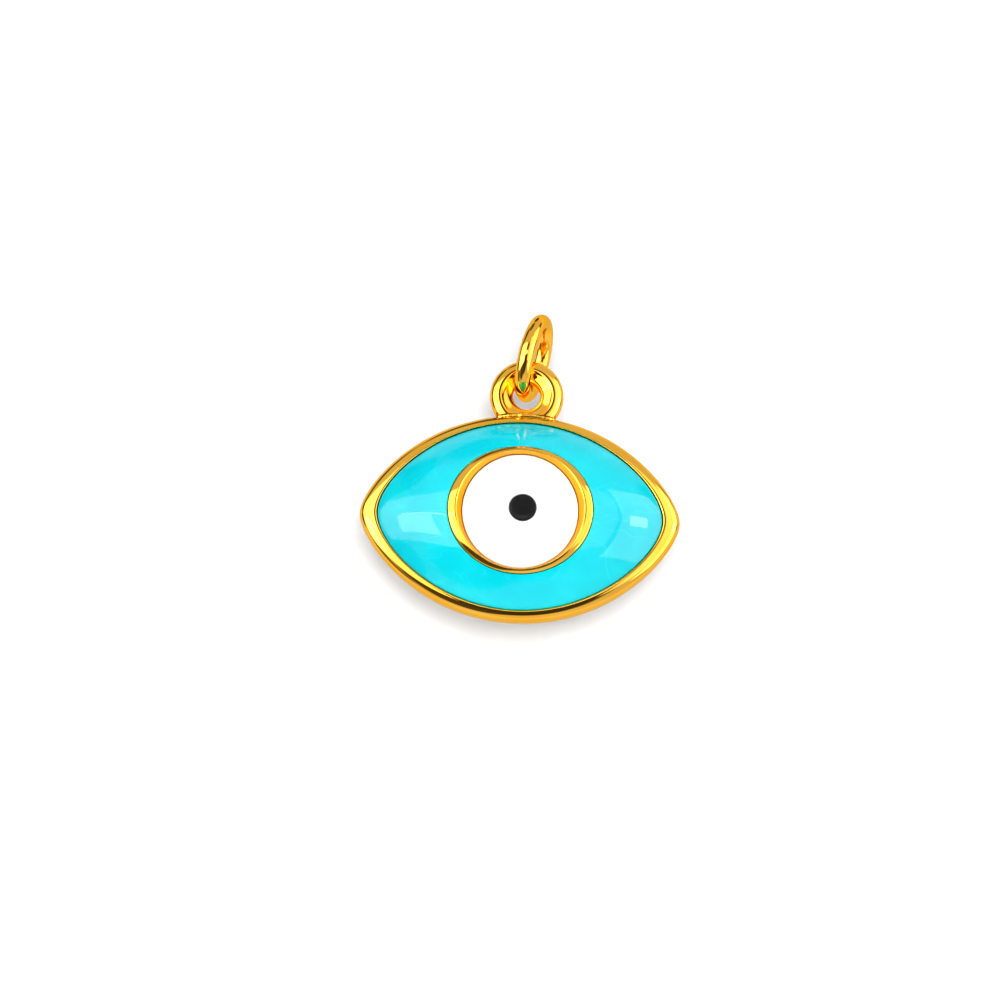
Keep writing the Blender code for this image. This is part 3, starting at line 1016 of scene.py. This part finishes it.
class CHARM_OT_stage(bpy.types.Operator):
    """Sets up the pale floor and backdrop, the soft lights, the world and the camera"""

    bl_idname = "charm.stage"
    bl_label = "Stage"

    def execute(self, context):
        paper = paper_finish()
        self.add_paper("floor", (0.0, 0.0, FLOOR_HEIGHT), (0.0, 0.0, 0.0), FLOOR_SIZE, paper)
        upright = (math.pi / 2.0, 0.0, 0.0)
        self.add_paper("backdrop", (0.0, BACKDROP_DEPTH, 0.0), upright, BACKDROP_SIZE, paper)
        for name, across, up, width, height, radiance, mirrored in SOFTBOXES:
            place = SOFTBOX_DISTANCE * direction(across, up)
            self.add_softbox(name, place, width, height, radiance, mirrored)
        self.set_world(context)
        self.add_camera(context)
        context.scene.view_settings.view_transform = "Standard"
        return {"FINISHED"}

    def add_paper(self, name, location, rotation, size, paper):
        start_clean()
        bpy.ops.mesh.primitive_plane_add(size=size, location=location, rotation=rotation)
        made = bpy.context.object
        made.name = name
        made.data.materials.append(paper)
        made.visible_glossy = False

    def add_softbox(self, name, place, width, height, radiance, mirrored):
        bpy.ops.object.light_add(type="AREA", location=EYE_MIDDLE + place)
        made = bpy.context.object
        made.name = name
        made.rotation_euler = place.to_track_quat("Z", "Y").to_euler()
        made.data.shape = "RECTANGLE"
        made.data.size = width
        made.data.size_y = height
        made.data.energy = radiance * math.pi * width * height
        made.visible_camera = False
        made.visible_diffuse = not mirrored
        made.visible_glossy = mirrored

    def set_world(self, context):
        world = bpy.data.worlds.new("studio")
        context.scene.world = world
        world.use_nodes = True
        tree = world.node_tree
        seen = tree.nodes["Background"]
        seen.inputs["Color"].default_value = (1.0, 1.0, 1.0, 1.0)
        seen.inputs["Strength"].default_value = SEEN_LEVEL
        around = add_node(tree, "ShaderNodeBackground")
        around.inputs["Strength"].default_value = 1.0
        coordinates = add_node(tree, "ShaderNodeTexCoord")
        rays = add_node(tree, "ShaderNodeLightPath")
        below = self.lobe(tree, coordinates, direction(0.0, -90.0), 0.75, 0.9)
        behind = self.lobe(tree, coordinates, direction(180.0, 0.0), 0.10, 0.30)
        colour = mixed_colour(tree, below, grey(FRONT_LEVEL), grey(BELOW_LEVEL))
        colour = mixed_colour(tree, behind, colour, grey(BEHIND_LEVEL))
        for across, up, far, near, level in DARK_LOBES:
            lobe = self.lobe(tree, coordinates, direction(across, up), far, near)
            colour = mixed_colour(tree, lobe, colour, grey(level))
        colour = mixed_colour(tree, rays.outputs["Is Glossy Ray"], grey(ROOM_LEVEL), colour)
        tree.links.new(colour, around.inputs["Color"])
        either = add_node(tree, "ShaderNodeMixShader")
        tree.links.new(rays.outputs["Is Camera Ray"], either.inputs[0])
        tree.links.new(around.outputs[0], either.inputs[1])
        tree.links.new(seen.outputs[0], either.inputs[2])
        tree.links.new(either.outputs[0], tree.nodes["World Output"].inputs["Surface"])

    def lobe(self, tree, coordinates, towards, far, near):
        """One within the near cosine of a direction, falling to zero at the far one."""
        product = add_node(tree, "ShaderNodeVectorMath", operation="DOT_PRODUCT")
        product.inputs[1].default_value = towards
        tree.links.new(coordinates.outputs["Generated"], product.inputs[0])
        return remapped(tree, product.outputs["Value"], far, near, 0.0, 1.0)

    def add_camera(self, context):
        """A long lens below the eye, looking up at it."""
        elevation = math.radians(CAMERA_ELEVATION)
        roll = math.radians(CAMERA_ROLL)
        back = Vector((0.0, -math.cos(elevation), math.sin(elevation)))
        turned = (-back).to_track_quat("-Z", "Y") @ Quaternion((0.0, 0.0, 1.0), roll)
        aside = turned @ Vector(CAMERA_SHIFT)
        bpy.ops.object.camera_add(location=CAMERA_TARGET + back * CAMERA_DISTANCE + aside)
        made = bpy.context.object
        made.name = "camera"
        made.rotation_mode = "QUATERNION"
        made.rotation_quaternion = turned
        made.data.lens = CAMERA_LENS
        made.data.sensor_width = 36.0
        made.data.clip_start = 0.01
        made.data.clip_end = 10.0
        context.scene.camera = made


PIECE_OPERATORS = (
    CHARM_OT_finishes,
    CHARM_OT_jump_ring,
    CHARM_OT_hanging_loop,
    CHARM_OT_rim,
    CHARM_OT_back_plate,
    CHARM_OT_iris_cup,
    CHARM_OT_turquoise,
    CHARM_OT_white_and_pupil,
    CHARM_OT_stage,
)


class CHARM_PT_panel(bpy.types.Panel):
    """Lists the charm's sizes, colours and pieces"""

    bl_idname = "CHARM_PT_panel"
    bl_label = "Evil Eye Charm"
    bl_space_type = "VIEW_3D"
    bl_region_type = "UI"
    bl_category = "Charm"

    def draw(self, context):
        for group in (context.scene.charm_sizes, context.scene.charm_colours):
            column = self.layout.column()
            for label in group.__annotations__:
                column.prop(group, label)
        for operator in PIECE_OPERATORS:
            self.layout.operator(operator.bl_idname)


CLASSES = (CharmSizes, CharmColours, *PIECE_OPERATORS, CHARM_PT_panel)


def register():
    for each in CLASSES:
        bpy.utils.register_class(each)
    bpy.types.Scene.charm_sizes = bpy.props.PointerProperty(type=CharmSizes)
    bpy.types.Scene.charm_colours = bpy.props.PointerProperty(type=CharmColours)


def unregister():
    del bpy.types.Scene.charm_colours
    del bpy.types.Scene.charm_sizes
    for each in reversed(CLASSES):
        bpy.utils.unregister_class(each)


def main():
    register()
    bpy.ops.charm.finishes()
    bpy.ops.charm.jump_ring()
    bpy.ops.charm.hanging_loop()
    bpy.ops.charm.rim()
    bpy.ops.charm.back_plate()
    bpy.ops.charm.iris_cup()
    bpy.ops.charm.turquoise()
    bpy.ops.charm.white_and_pupil()
    bpy.ops.charm.stage()
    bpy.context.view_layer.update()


if __name__ == "__main__":
    main()
